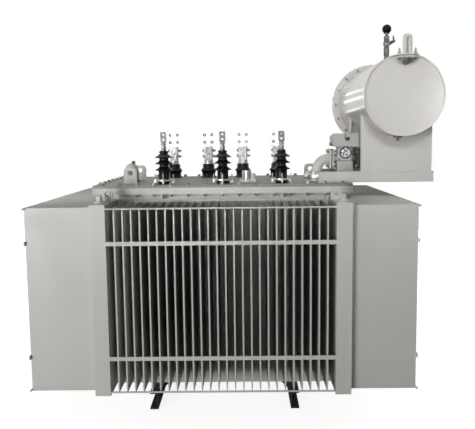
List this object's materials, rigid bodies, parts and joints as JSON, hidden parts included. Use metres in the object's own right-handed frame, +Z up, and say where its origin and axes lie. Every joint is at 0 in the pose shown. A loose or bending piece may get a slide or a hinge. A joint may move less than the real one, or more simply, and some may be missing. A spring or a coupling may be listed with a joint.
{
  "type": "power transformer",
  "caption": "Oil-filled power transformer with corrugated fin walls, porcelain bushings on the cover and a side-mounted conservator with a gas relay.",
  "frame": {"origin": "centre of the overall box at ground level, under the skids", "axes": "+X along the tank towards the conservator, +Y from the high-voltage side to the low-voltage side, +Z up"},
  "size_m": [2.3256, 1.586, 2.222],
  "materials": {
    "grey_paint": "satin light grey paint",
    "black_paint": "satin black paint",
    "black_glaze": "glossy dark glaze",
    "tinned_metal": "bright tinned metal",
    "zinc_metal": "dull zinc-plated metal",
    "cast_alloy": "painted cast alloy",
    "sight_glass": "clear glass",
    "black_plastic": "black moulded plastic"
  },
  "bodies": {
    "root": {"skid_left": "black_paint", "skid_right": "black_paint", "skid_gussets": "black_paint", "tank_body": "grey_paint", "corner_chambers": "grey_paint", "front_corrugated_wall": "grey_paint", "back_corrugated_wall": "grey_paint", "left_corrugated_wall": "grey_paint", "right_corrugated_wall": "grey_paint", "front_fin_bars": "grey_paint", "back_fin_bars": "grey_paint", "left_fin_bars": "grey_paint", "right_fin_bars": "grey_paint", "tank_flange": "grey_paint", "flange_ribs": "grey_paint", "cover_plate": "grey_paint", "cover_lugs": "grey_paint", "relief_valve": "grey_paint", "relief_pin": "black_plastic", "tank_lugs": "grey_paint", "vent_plugs": "grey_paint", "hv_bushings": "black_glaze", "hv_clamps": "zinc_metal", "hv_terminals": "zinc_metal", "lv_bushings": "black_glaze", "lv_terminals": "tinned_metal", "tap_changer_cap": "cast_alloy", "conservator_shell": "grey_paint", "conservator_front_end": "grey_paint", "conservator_rear_flange": "grey_paint", "conservator_rear_cover": "grey_paint", "conservator_support_front": "grey_paint", "conservator_support_rear": "grey_paint", "support_beam_front": "grey_paint", "support_beam_rear": "grey_paint", "breather_pipe": "grey_paint", "filler_valve": "zinc_metal", "filler_cap": "black_plastic", "drain_stub": "zinc_metal", "elbow_pipe": "grey_paint", "relay_body": "cast_alloy", "relay_window": "sight_glass", "relay_head": "cast_alloy", "outlet_pipe": "grey_paint"}
  },
  "joints": []
}
